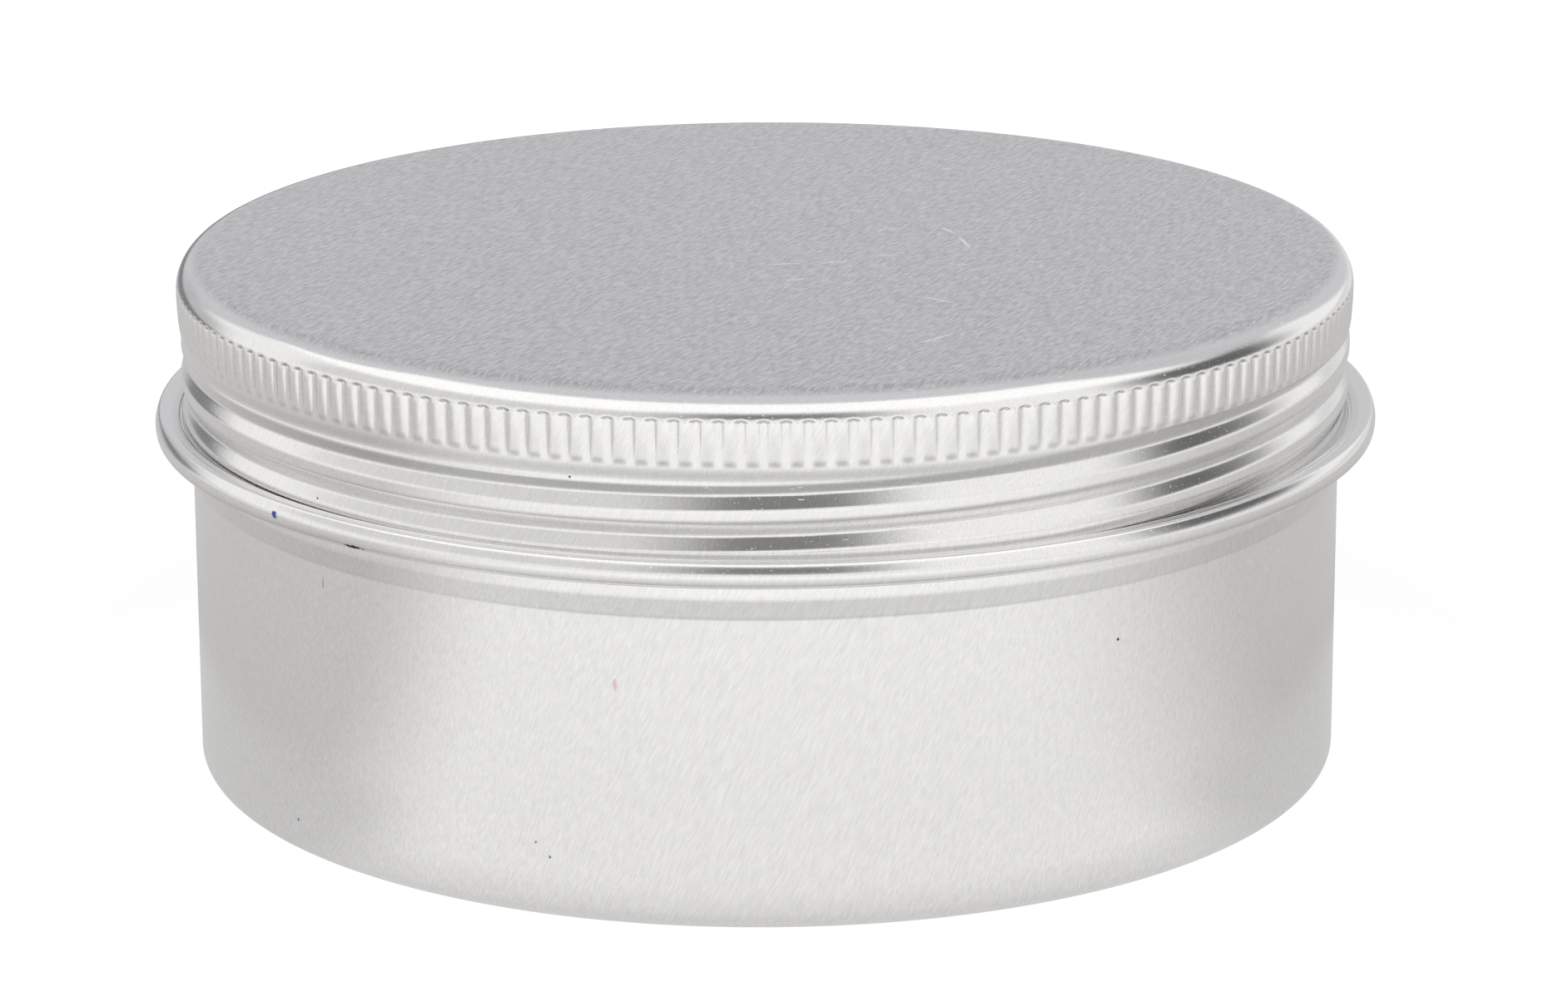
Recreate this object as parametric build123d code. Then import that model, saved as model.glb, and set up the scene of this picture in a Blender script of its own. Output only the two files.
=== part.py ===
"""Screw-top aluminium tin: a drawn can, a drawn screw lid and the foam disc that seals it.

Lengths are in millimetres and angles in degrees. +Z is up along the tin's axis, and the origin
is the middle of the ring that the can stands on. The lid is modelled screwed down.
"""
from build123d import *
import math
import os

# Whole tin
total_height = 37.0
sheet = 0.35  # aluminium sheet, the same in the can and the lid
overlap = 0.16  # how far a groove's cutting shape stands out of the sheet, or a ridge is rooted in it

# Can: base and wall
body_radius = 40.9
base_corner_round = 1.2
base_corner_facets = 2
panel_inset = 3.4  # from the wall in to the edge of the recessed base panel
panel_recess = 0.6
panel_step_slope = 0.4

# Lid: top panel and fluted band
lid_overhang = 0.85  # how far the lid's side stands out past the can's wall
lid_corner_width = 2.2  # how far the rounded corner reaches in over the top panel
lid_corner_height = 1.8  # how far it reaches down the side
corner_facets = 3  # round corners are turned as this many short cones
flute_count = 180
flute_top_drop = 1.85  # from the top of the lid to the upper end of the flutes
flute_length = 2.9
flute_depth = 0.2
flute_side_angle = 64  # between a flute's sides and the line square to the lid's side
flute_overrun = 0.1  # how far the cutting shape of a flute stands out of the lid's side

# Lid: rolled edge, an oval hollow roll in the real lid
curl_drop = 11.95  # from the top of the lid to the middle of the roll
curl_width = 2.1  # from the inside of the skirt to the outermost line of the roll
curl_height = 1.5
curl_facets = 3  # short cones in each half of the roll

# Rolled thread, shared by the lid and the neck; a right-hand screw line
thread_pitch = 2.75
thread_depth = 0.45
groove_foot_share = 0.48  # half the foot of the lid's groove and ridge, as a share of the pitch
ridge_foot_share = 0.43  # the same of the neck's ridge
thread_drop = 6.75  # from the top of the lid to the upper groove, at the front
lid_thread_from, lid_thread_to = -1.2, 0.46  # turns, counted from the front of the upper groove
neck_thread_from, neck_thread_to = -1.3, 0.02
run_out = 0.12  # turns over which a groove or ridge fades out
smallest_share = 0.1  # share of the form's depth that is left where it has faded out
sections_per_turn = 15

# Can: shoulder under the lid
shoulder_drop = 15.4  # from the top of the lid to the height where the wall starts to flare
shoulder_rise = 1.45
shoulder_bulge = 0.18
collar_rise = 1.1
collar_drop_in = 0.1
neck_rise = 0.9

# Can: neck and rim
neck_clearance = 0.25  # between the neck and the tips of the lid's thread
thread_overlap = 0.3  # how far the neck's ridge reaches past those tips
thread_play = 1.0  # how far the neck's ridge stands above the lid's groove that holds it
rim_roll_radius = 0.65
rim_facets = 4
rim_roll_turn = 240  # angle that the rolled rim turns through, from the outside of the neck

# Foam disc
liner_thickness = 1.0
liner_to_lid_gap = 0.15
liner_to_rim_gap = 0.05
liner_shortfall = 0.6  # how much less the disc's radius is than the neck's

# Worked-out sizes that the pieces share
lid_radius = body_radius + lid_overhang
lid_inner = lid_radius - sheet
thread_tip = lid_inner - thread_depth
neck_radius = thread_tip - neck_clearance
panel_underside = total_height - sheet
liner_bottom = panel_underside - liner_to_lid_gap - liner_thickness
front_groove_height = total_height - thread_drop


def turned(outline):
    """Solid of revolution about Z of a half-section given as (radius, height) corners."""
    points = [(radius, 0, height) for radius, height in outline]
    return revolve(make_face(Polyline(*points, close=True)), Axis.Z)


def bend(middle, reach, height, start, turn, facets):
    """Corners along an oval arc about (radius, height) middle; angles run from outwards to up."""
    angles = [math.radians(start + turn * step / facets) for step in range(facets + 1)]
    return [(middle[0] + reach * math.cos(a), middle[1] + height * math.sin(a)) for a in angles]


def screwed(tip_radius, foot_radius, foot_share, front_height, first, last):
    """Three-sided thread form lofted along the right-hand screw line.

    The form's tip runs at tip_radius, and passes front_height at the front (-Y). At both ends the
    tip draws back towards the foot until little of the form is left.
    """
    half_width = foot_share * thread_pitch
    count = math.ceil((last - first) * sections_per_turn)
    sections = []
    for index in range(count + 1):
        turn = first + (last - first) * index / count
        fade = min(1, (turn - first) / run_out, (last - turn) / run_out)
        tip = foot_radius + (tip_radius - foot_radius) * max(fade, smallest_share)
        angle = 2 * math.pi * turn
        outward, along = (math.sin(angle), -math.cos(angle), 0), (-math.cos(angle), -math.sin(angle), 0)
        plane = Plane(origin=(0, 0, front_height + thread_pitch * turn), x_dir=outward, z_dir=along)
        form = [(foot_radius, half_width), (tip, 0), (foot_radius, -half_width)]
        corners = [plane.from_local_coords(Vector(radius, height)) for radius, height in form]
        sections.append(Face(Wire.make_polygon(corners)))
    return loft(sections)


def skirt_thread(tip_radius, foot_radius):
    """The lid's thread, either its groove on the outside or its ridge on the inside."""
    turns = lid_thread_from, lid_thread_to
    return screwed(tip_radius, foot_radius, groove_foot_share, front_groove_height, *turns)


def flute_cutter():
    """One flute: a shallow upright V, to be cut into the lid's side."""
    depth = flute_depth + flute_overrun
    half_width = depth * math.tan(math.radians(flute_side_angle))
    section = Polyline((0, 0), (depth, -half_width), (depth, half_width), close=True)
    lower_end = Plane(origin=(lid_radius - flute_depth, 0, total_height - flute_top_drop - flute_length))
    return extrude(lower_end * make_face(section), flute_length)


def lid_shell():
    """Drawn lid: flat panel, fluted band, threaded skirt and an edge rolled outwards."""
    corner = lid_radius - lid_corner_width, total_height - lid_corner_height
    inner_width, inner_height = lid_corner_width - sheet, lid_corner_height - sheet
    half_width, half_height = curl_width / 2, curl_height / 2
    roll = lid_inner + half_width, total_height - curl_drop
    meets_skirt = math.degrees(math.acos((lid_radius - roll[0]) / half_width))
    shell = turned([
        (0, total_height),
        *bend(corner, lid_corner_width, lid_corner_height, 90, -90, corner_facets),
        *bend(roll, half_width, half_height, meets_skirt, -meets_skirt, curl_facets),
        *bend(roll, half_width, half_height, 0, -180, curl_facets)[1:],
        *bend(corner, inner_width, inner_height, 0, 90, corner_facets),
        (0, panel_underside),
    ])
    ridge = skirt_thread(thread_tip, lid_inner + overlap)
    groove = skirt_thread(lid_radius - thread_depth, lid_radius + overlap)
    flutes = PolarLocations(0, flute_count) * flute_cutter()
    return shell + ridge - groove - flutes


def base_can():
    """Drawn can: recessed base panel, straight wall, shoulder, threaded neck and rolled rim."""
    body_inner, neck_inner = body_radius - sheet, neck_radius - sheet
    corner = body_radius - base_corner_round, base_corner_round
    panel_radius, shoulder_height = body_radius - panel_inset, total_height - shoulder_drop
    bulge_radius, bulge_height = body_radius + shoulder_bulge, shoulder_height + shoulder_rise
    collar_radius, collar_height = bulge_radius - collar_drop_in, bulge_height + collar_rise
    neck_bottom = collar_height + neck_rise
    rim = neck_radius - rim_roll_radius, liner_bottom - liner_to_rim_gap - rim_roll_radius
    rim_roll = bend(rim, rim_roll_radius, rim_roll_radius, 0, rim_roll_turn, rim_facets)
    can = turned([
        (0, panel_recess),
        (panel_radius - panel_step_slope, panel_recess),
        (panel_radius, 0),
        *bend(corner, base_corner_round, base_corner_round, -90, 90, base_corner_facets),
        (body_radius, shoulder_height),
        (bulge_radius, bulge_height),
        (collar_radius, collar_height),
        (neck_radius, neck_bottom),
        *rim_roll,
        (neck_inner, rim_roll[-1][1]),
        (neck_inner, neck_bottom - sheet),
        (body_inner, collar_height - sheet),
        (body_inner, base_corner_round),
        (corner[0], sheet),
        (panel_radius + sheet, sheet),
        (panel_radius + sheet - panel_step_slope, panel_recess + sheet),
        (0, panel_recess + sheet),
    ])
    tip, ridge_height = thread_tip + thread_overlap, front_groove_height + thread_play
    turns = neck_thread_from, neck_thread_to
    return can + screwed(tip, neck_radius - overlap, ridge_foot_share, ridge_height, *turns)


def lid_liner():
    """Foam disc that lies under the lid's panel and seals on the rim."""
    liner_radius = neck_radius - liner_shortfall
    bottom = Plane.XY.offset(liner_bottom)
    return extrude(bottom * Circle(liner_radius), liner_thickness)


def main():
    os.makedirs("parts", exist_ok=True)
    for name, make in (("base_can", base_can), ("lid_liner", lid_liner), ("lid_shell", lid_shell)):
        piece = make()
        piece.label = name
        export_step(piece, f"parts/{name}.step")
        print(name, "solids", len(piece.solids()), "volume", round(piece.volume, 1))


if __name__ == "__main__":
    main()
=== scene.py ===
"""Screw-top aluminium tin in a plain pale studio.

The lid, the can and the foam disc are surfaces turned about the tin's axis. Every row of such a
surface is a ring of points counted counter-clockwise from the front (-Y), seen from above, and the
rows run so that the faces point out of the sheet. Lengths are metres. A bearing is an angle in
degrees from the front towards +X.
"""

import math

import bpy
import numpy as np
from bpy.props import FloatProperty, FloatVectorProperty, IntProperty, PointerProperty
from bpy.types import Operator, Panel, PropertyGroup
from mathutils import Matrix, Vector


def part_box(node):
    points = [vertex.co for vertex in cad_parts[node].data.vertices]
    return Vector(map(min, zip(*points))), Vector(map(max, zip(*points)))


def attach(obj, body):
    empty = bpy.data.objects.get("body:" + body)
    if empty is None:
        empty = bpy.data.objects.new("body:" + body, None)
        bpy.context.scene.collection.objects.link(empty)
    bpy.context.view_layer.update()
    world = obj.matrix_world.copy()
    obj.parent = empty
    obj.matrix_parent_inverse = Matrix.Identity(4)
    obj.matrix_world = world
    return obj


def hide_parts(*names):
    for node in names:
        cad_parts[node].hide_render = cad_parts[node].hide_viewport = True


bl_info = {
    "name": "Screw-top aluminium tin",
    "version": (1, 0, 0),
    "blender": (4, 5, 0),
    "location": "3D View > Sidebar > Tin",
    "description": "Builds a screw-top tin, its foam liner and the studio that it stands in",
    "category": "Object",
}

MM = 0.001
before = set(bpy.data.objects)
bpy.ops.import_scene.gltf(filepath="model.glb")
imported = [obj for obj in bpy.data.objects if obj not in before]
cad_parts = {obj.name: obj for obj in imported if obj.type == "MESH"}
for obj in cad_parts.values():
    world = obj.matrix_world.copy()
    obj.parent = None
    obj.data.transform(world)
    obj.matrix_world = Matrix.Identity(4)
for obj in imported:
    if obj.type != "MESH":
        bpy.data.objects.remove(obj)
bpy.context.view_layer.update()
LID_LOW, LID_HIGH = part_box("lid_shell")
LINER_LOW, LINER_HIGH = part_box("lid_liner")


# Sizes and colours that a user would change


def length(name, description, millimetres):
    """A size in metres, given in millimetres."""
    return FloatProperty(
        name=name, description=description, default=millimetres * MM, unit="LENGTH", precision=5,
    )


def linear(code):
    """Linear RGB of an sRGB colour written as six hex digits."""
    shares = [int(code[at:at + 2], 16) / 255 for at in (0, 2, 4)]
    return [share / 12.92 if share <= 0.04045 else ((share + 0.055) / 1.055) ** 2.4 for share in shares]


def colour(name, description, code):
    """A colour whose default is an sRGB hex value."""
    return FloatVectorProperty(
        name=name, description=description, default=linear(code), subtype="COLOR", min=0, max=1,
    )


class LidSizes(PropertyGroup):
    """Sizes of the drawn lid."""

    radius: length("Side radius", "Outside radius of the lid's side", 41.75)
    sheet: length("Sheet", "Thickness of the aluminium sheet", 0.35)
    corner: length("Corner radius", "Rounding between the panel and the side", 2.2)
    flute_count: IntProperty(name="Flutes", description="Grip flutes round the lid", default=180, min=3)
    flute_width: length("Flute width", "Width of the narrow groove between two ribs", 0.42)
    flute_depth: length("Flute depth", "How deep a flute is pressed in", 0.19)
    flute_drop: length("Flute drop", "From the top of the lid to the upper end of the flutes", 1.85)
    flute_length: length("Flute length", "From the upper to the lower end of a flute", 3.1)
    flute_runout: length("Flute run-out", "Height of the short step at the ribs' lower ends", 0.5)
    band_taper: length("Band taper", "How much slimmer the plain band is than the beads under it", 0.14)
    pitch: length("Thread pitch", "Height between two turns of the thread", 2.75)
    groove_depth: length("Groove depth", "Depth of the rolled groove", 0.36)
    groove_drop: length("Groove drop", "From the top of the lid to the upper groove, at the front", 6.8)
    groove_rise: length("Groove upper flank", "Height of the flank above a groove", 1.15)
    groove_fall: length("Groove lower flank", "Height of the flank under a groove", 1.1)
    groove_skew: length("Groove skew", "How much higher than an even line it runs on the right", 0.36)
    groove_warp: length("Groove warp", "How much higher it runs at both sides than in front", 0.75)
    crevice: length("Crevice", "How far the slot beside the roll reaches down", 0.8)


class CanSizes(PropertyGroup):
    """Sizes of the drawn can."""

    radius: length("Wall radius", "Outside radius of the straight wall", 40.9)
    sheet: length("Sheet", "Thickness of the aluminium sheet", 0.35)
    corner: length("Foot radius", "Rounding between the wall and the stand ring", 1.2)
    ring_radius: length("Stand ring", "Inside radius of the ring that the can stands on", 37.7)
    recess: length("Recess", "How far the base panel is set up from the table", 0.6)
    shoulder: length("Shoulder height", "Height where the wall starts to flare", 21.6)
    shoulder_rise: length("Shoulder rise", "Height from there to the widest line of the shoulder", 1.45)
    flare: length("Flare", "How far the shoulder stands out from the wall", 0.18)
    collar_rise: length("Collar rise", "Height from the widest line to where the neck starts", 1.1)
    neck_rise: length("Neck rise", "Height in which the sheet draws in to the neck", 0.9)
    neck_radius: length("Neck radius", "Outside radius of the neck", 40.7)
    ridge_height: length("Ridge height", "How far the thread stands out of the neck", 0.36)
    ridge_lift: length("Ridge lift", "How far the neck's ridge stands above the lid's groove", 1.0)
    ridge_width: length("Ridge half width", "Half the width of the thread on the neck", 1.0)
    rim_roll: length("Rim roll", "Radius of the rolled rim", 0.65)


class LinerSizes(PropertyGroup):
    """Sizes of the foam disc."""

    edge: length("Edge rounding", "Rounding of the disc's cut edge", 0.2)
    dent: length("Rim dent", "How deep the rim has pressed into the foam", 0.12)
    dent_width: length("Dent width", "Half the width of that ring", 0.9)


class Finish(PropertyGroup):
    """Colours of the surfaces."""

    metal: colour("Aluminium", "Bare drawn aluminium under a thin clear lacquer", "F5F4F2")
    foam: colour("Foam", "White closed-cell foam", "EFEFEC")
    ink: colour("Ink", "Specks of blue ink", "5B60B4")
    soot: colour("Smudge", "Dark rubbed marks", "3B3A3C")
    pink: colour("Pink mark", "A pinkish rubbed mark", "EAD6D4")
    haze: colour("Faint mark", "Faint grey specks and hairs", "9A9A9C")
    scratch: colour("Scratch", "Fresh metal in a scratch", "FAFAFA")


class Studio(PropertyGroup):
    """The stage round the tin."""

    floor: colour("White card", "Card on the floor, in front of the tin", "F6F6F5")
    # Painted shade: the floor is coloured grey beside and behind the tin, out to where its far edge turns
    # white.
    floor_painted_shade: colour("Grey floor", "Floor beside and behind the tin", "CFCECD")
    # Painted shade: far off in the back-left corner the floor is coloured darker still.
    far_corner_painted_shade: colour("Dark corner", "Floor far off in the left back corner", "8C8C90")
    # Painted light: the disc under the tin glows though it is no lamp.
    painted_disc_light: FloatProperty(
        name="Disc light", description="Glow of the pale disc under the tin", default=0.75,
    )
    key_power: FloatProperty(
        name="Key lamp", description="Power of the lamp in front", default=3.6, subtype="POWER",
    )
    ambient: FloatProperty(name="Ambient", description="Strength of the sky on matt surfaces", default=0.88)
    lens: FloatProperty(
        name="Lens", description="Focal length for a 36 mm frame", default=133.06 * MM, unit="CAMERA",
    )


# Surfaces turned about the axis

WALK_TURN = 9  # degrees that one step of a walked outline turns at most
FLANK_STRAIGHT_SHARE = 0.8  # how much of a thread's flank is straight, as a share of it
VALLEY_SHARE = 0.04  # how round the thread's valley is, as a share of the flank


def ring(radius, height, angles):
    """Ring of points: x = r sin a, y = -r cos a, z = height."""
    radius = np.broadcast_to(radius, angles.shape)
    height = np.broadcast_to(height, angles.shape)
    return np.column_stack([radius * np.sin(angles), -radius * np.cos(angles), height])


def rings(profile, angles):
    """One ring for each (radius, height) point of a profile."""
    return [ring(radius, height, angles) for radius, height in profile]


def pole(height):
    """Row that is a single point on the axis."""
    return np.array([[0.0, 0.0, height]])


def bridge(first_a, count_a, first_b, count_b):
    """Triangles between two rings, where the finer has a whole number of points for each of the other's.

    Every edge of the fine ring makes a triangle with the coarse point that it belongs to, and every
    edge of the coarse ring one with the fine point where the next such fan starts.
    """
    coarse = min(count_a, count_b)
    fine = np.arange(max(count_a, count_b))
    step = len(fine) // coarse
    near = fine // step
    after = (fine + 1) % len(fine)
    start = np.arange(coarse)
    following = (start + 1) % coarse
    if count_b >= count_a:
        fans = np.column_stack([first_a + near, first_b + fine, first_b + after])
        caps = np.column_stack([first_a + start, first_b + following * step, first_a + following])
    else:
        fans = np.column_stack([first_a + fine, first_b + near, first_a + after])
        caps = np.column_stack([first_a + following * step, first_b + start, first_b + following])
    return fans if coarse == 1 else np.concatenate([fans, caps])


def skin(name, rows):
    """Closed smooth mesh through rows of rings, whose first and last are single points on the axis."""
    counts = [len(row) for row in rows]
    firsts = np.cumsum([0] + counts)
    points = np.concatenate(rows)
    faces = np.concatenate([
        bridge(firsts[at], counts[at], firsts[at + 1], counts[at + 1]) for at in range(len(rows) - 1)
    ])
    mesh = bpy.data.meshes.new(name)
    mesh.vertices.add(len(points))
    mesh.vertices.foreach_set("co", points.ravel())
    mesh.loops.add(faces.size)
    mesh.loops.foreach_set("vertex_index", faces.ravel().astype(np.int32))
    mesh.polygons.add(len(faces))
    mesh.polygons.foreach_set("loop_start", np.arange(0, faces.size, faces.shape[1], dtype=np.int32))
    mesh.update(calc_edges=True)
    mesh.validate()
    mesh.shade_smooth()
    made = bpy.data.objects.new(name, mesh)
    bpy.context.scene.collection.objects.link(made)
    return made


def arc(middle, reach, rise, start, end, count):
    """(radius, height) points along an oval arc; angles in degrees run from outwards to up."""
    angles = np.radians(np.linspace(start, end, count))
    return list(zip(middle[0] + reach * np.cos(angles), middle[1] + rise * np.sin(angles)))


def line(start, end, count):
    """(radius, height) points along a straight line, both ends included."""
    return list(zip(np.linspace(start[0], end[0], count), np.linspace(start[1], end[1], count)))


def around(count, shares):
    """Angles of a ring that repeats count times, with a point at each of the given shares of a repeat."""
    return (math.tau * (np.arange(count)[:, None] + np.array(shares)[None, :]) / count).ravel()


def eased(share):
    """Smooth step from 0 to 1: 3 s^2 - 2 s^3."""
    share = np.clip(share, 0, 1)
    return share * share * (3 - 2 * share)


def walk(start, stretches, step):
    """Outline walked from a (radius, height) start, turning steadily along each stretch.

    A stretch is (length, facing, facing): the sheet's outer side faces so many degrees above
    straight out at its two ends. A step goes sin f of its length outwards and cos f down.
    """
    moves = []
    for size, first, last in stretches:
        count = max(1, math.ceil(max(size / step, abs(last - first) / WALK_TURN)))
        facing = np.radians(first + (last - first) * (np.arange(count) + 0.5) / count)
        moves.append(size / count * np.column_stack([np.sin(facing), -np.cos(facing)]))
    return np.array(start) + np.concatenate([np.zeros((1, 2)), np.cumsum(np.concatenate(moves), axis=0)])


def screw_form(height, angles, front, pitch, turns, rise, fall):
    """Share of a thread's depth at a height, for each angle.

    The form's middle climbs by the pitch each turn and passes the front height at angle 0. With s
    the distance from the middle as a share of the flank, b the straight share and k = 2 / (1 + b),
    the depth is 1 - k s where s is under b, and k (1 - s)^2 / (2 - 2 b) from there to the crest.
    Near the middle s is rounded off. A smooth step fades the form out at both ends.
    """
    slope = 2 / (1 + FLANK_STRAIGHT_SHARE)
    turn = (angles / math.tau) % 1
    depth = np.zeros_like(angles)
    for lap in range(math.floor(turns[0]), math.ceil(turns[1]) + 1):
        along = turn + lap
        offset = height - (front + pitch * along)
        share = np.hypot(offset / np.where(offset > 0, rise, fall), VALLEY_SHARE)
        crest = slope * (1 - share) ** 2 / (2 * (1 - FLANK_STRAIGHT_SHARE))
        flank = np.where(share < FLANK_STRAIGHT_SHARE, 1 - slope * share, crest)
        fade = eased((along - turns[0]) / THREAD_FADE) * eased((turns[1] - along) / THREAD_FADE)
        depth = np.maximum(depth, fade * np.where(share < 1, flank, 0))
    return depth


# Thread, which the lid and the neck share

THREAD_FADE = 0.12  # turns over which a thread fades in and out


def thread_lean(lid, angles):
    """How much higher than an even screw line the thread runs: skew sin a + warp (sin a)^2."""
    return lid.groove_skew * np.sin(angles) + lid.groove_warp * np.sin(angles) ** 2


# Lid: flutes

RIB_POWER = 2.6  # how full a rib's crest is
RIB_STEP_SHARE = 0.32  # how much of a rib's height the short step at its lower end takes
RIB_DRAW = 4  # height of the gentle slope that takes the rest, over the height of that step
FLUTE_OVAL = 2  # half the width of a flute's oval upper end, over the height of that end


def flute_form(height, angles, sizes, top):
    """Depth of the flutes at a height: narrow round-topped grooves between broad rounded ribs.

    A rib stands off by 1 - (1 - s)^p of the depth, where s runs from its edge to its crest and p is
    the rib's power. Its lower end draws in to the skirt gently at first and then in a short step.
    """
    spacing = math.tau * sizes.radius / sizes.flute_count
    across = ((angles * sizes.flute_count / math.tau + 0.5) % 1 - 0.5) * spacing
    half = sizes.flute_width / 2
    past_tip = max(0, height - (top - half / FLUTE_OVAL))
    away = np.hypot(across, FLUTE_OVAL * past_tip)
    rib = 1 - (1 - np.clip((away - half) / (spacing / 2 - half), 0, 1)) ** RIB_POWER
    above_end = (height - (top - sizes.flute_length)) / sizes.flute_runout
    full = RIB_STEP_SHARE * eased(above_end) + (1 - RIB_STEP_SHARE) * min(1, above_end / RIB_DRAW)
    return sizes.flute_depth * (1 - rib * full)


# Lid: its rows

LID_TURNS = (-1.93, 0.47)  # where the groove starts and ends, in turns from the front of the upper one
# Points of a ring within one rib and flute, as shares of their spacing; the flute's middle is at 0.
COARSE_SHARES = (-0.5, 0.0)
FINE_SHARES = (-0.5, -0.36, -0.24, -0.18, -0.145, 0.0, 0.145, 0.18, 0.24, 0.36)
PANEL_SHARES = np.linspace(0.12, 0.98, 6)  # radii of the panel's rows, as shares of the flat panel's
CORNER_ROWS = 10
INNER_CORNER_ROWS = 8
CORNER_END = 0.35 * MM  # how far above the flutes' upper end the corner's own rows end
# Heights of the fine rows, from the flutes' upper end and from their lower end.
FLUTE_TOP_ROWS = np.array([
    0.3, 0.24, 0.18, 0.13, 0.08, 0.04, 0.0, -0.04, -0.08, -0.13, -0.3, -0.8, -1.6,
]) * MM
FLUTE_END_ROWS = np.array([1.1, 0.7, 0.5, 0.4, 0.3, 0.2, 0.1, 0.0]) * MM
# Heights in which the plain band slims: upwards from the groove, and down from the flutes.
BAND_FROM_GROOVE = 0.9 * MM
BAND_FROM_FLUTES = 1.1 * MM
SKIRT_GAP = 0.1 * MM  # from the flutes' lower end to the skirt's first row, and inside to the corner
SKIRT_STEP = 0.11 * MM
SLOT_DIP = 0.04 * MM  # how much deeper the slot beside the roll is in its middle
INSIDE_STEP = 0.4 * MM
# The rolled edge from the slot up, over its crest and round to its underside: length, and the way
# that the sheet faces at both ends, in degrees above straight out.
ROLL = (
    (0.15 * MM, 180, 128),
    (0.88 * MM, 128, 100),
    (0.4 * MM, 100, 72),
    (0.22 * MM, 72, 40),
    (0.12 * MM, 40, 25),
    (0.5 * MM, 25, 16),
    (0.34 * MM, 16, 0),
    (0.46 * MM, 0, -12),
    (0.5 * MM, -12, -90),
)
ROLL_STEP = 0.14 * MM
UNDER_ROUND = 0.35 * MM  # rounding between the roll's underside and the inside of the skirt
UNDER_STEP = 0.5 * MM


def lid_rows(sizes):
    """Rows of the lid: panel, corner, fluted side, threaded skirt, roll, and back up the inside.

    The side's radius is a quarter circle over the corner's height and straight below it. The depth
    of the flutes, and below them that of the band and the groove, is taken off it.
    """
    top = LID_HIGH.z
    coarse = around(sizes.flute_count, COARSE_SHARES)
    fine = around(sizes.flute_count, FINE_SHARES)
    corner = (sizes.radius - sizes.corner, top - sizes.corner)
    inner = sizes.radius - sizes.flute_depth - sizes.sheet
    flute_top = top - sizes.flute_drop
    flute_low = flute_top - sizes.flute_length
    front = top - sizes.groove_drop
    lean = thread_lean(sizes, coarse)

    def groove(height):
        """Depth of the thread's groove."""
        flanks = (sizes.groove_rise, sizes.groove_fall)
        return sizes.groove_depth * screw_form(height - lean, coarse, front, sizes.pitch, LID_TURNS, *flanks)

    def side(height):
        """Radius of the plain side: straight, then the corner's arc."""
        over = max(0.0, height - corner[1])
        return corner[0] + math.sqrt(sizes.corner ** 2 - over ** 2)

    def skirt(height):
        """Radius of the skirt under the flutes, a little slimmer at the plain band."""
        above_groove = eased((height - lean - front) / BAND_FROM_GROOVE)
        below_flutes = eased((flute_low - height) / BAND_FROM_FLUTES)
        slim = sizes.band_taper * above_groove * below_flutes
        return sizes.radius - sizes.flute_depth - np.maximum(slim, groove(height))

    rows = [pole(top)]
    rows += rings([(share * corner[0], top) for share in PANEL_SHARES], coarse)
    corner_end = math.degrees(math.asin((flute_top + CORNER_END - corner[1]) / sizes.corner))
    rows += rings(arc(corner, sizes.corner, sizes.corner, 90, corner_end, CORNER_ROWS), coarse)
    for height in np.concatenate([flute_top + FLUTE_TOP_ROWS, flute_low + FLUTE_END_ROWS]):
        rows.append(ring(side(height) - flute_form(height, fine, sizes, flute_top), height, fine))

    roll = walk((0.0, 0.0), ROLL, ROLL_STEP)
    roll += (LID_HIGH.x - roll[:, 0].max(), LID_LOW.z - roll[:, 1].min())
    crest = roll[:, 1].max()
    slot = crest - sizes.crevice
    for height in np.arange(flute_low - SKIRT_GAP, slot, -SKIRT_STEP):
        rows.append(ring(skirt(height), height, coarse))
    slot_side = skirt(slot)
    rows.append(ring(slot_side, slot, coarse))
    rows.append(ring((slot_side + roll[0][0]) / 2, slot - SLOT_DIP, coarse))
    rows.append(ring(roll[0][0], slot, coarse))
    rows += rings(roll, coarse)

    under = roll[-1][0] - inner - UNDER_ROUND
    inwards = ((under, -90, -90), (UNDER_ROUND * math.pi / 2, -90, -180))
    rows += rings(walk(roll[-1], inwards, UNDER_STEP)[1:], coarse)
    for height in np.arange(crest, corner[1] - SKIRT_GAP, INSIDE_STEP):
        rows.append(ring(inner - groove(height), height, coarse))
    inner_corner = arc(corner, inner - corner[0], sizes.corner - sizes.sheet, 0, 90, INNER_CORNER_ROWS)
    rows += rings(inner_corner, coarse)
    rows.append(ring(corner[0] / 2, top - sizes.sheet, coarse))
    rows.append(pole(top - sizes.sheet))
    return rows


# Can

CAN_TURNS = (-1.3, 0.02)  # where the neck's ridge starts and ends, counted as the lid's groove is
CAN_POINTS = 360
COLLAR_DRAW = 0.1 * MM  # how much narrower the collar is than the widest line of the shoulder
RIM_GAP = 0.05 * MM  # between the rim and the foam disc
RIM_START = 250  # degrees on the rim's roll where its hidden end starts
# Small drops of the inner side of the sheet against the outer one, where it bends.
WIDEST_DROP = 0.1 * MM
COLLAR_DROP = 0.2 * MM
BASE_BEND = 0.3 * MM  # radius of the bends between the stand ring and the base panel
BEND_SLOPE = 20  # degrees by which the step between those bends leans
# Middles of those bends and the panel's edge, out from the ring's inside radius, in bend radii.
INNER_BEND_SHARE = 2.2
OUTER_BEND_SHARE = 1.4
PANEL_EDGE_SHARE = 2.0
BASE_HUB = 6 * MM  # radius of the base panel's innermost row
WALL_START = 3 * MM  # height of the inside wall's first row
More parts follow.
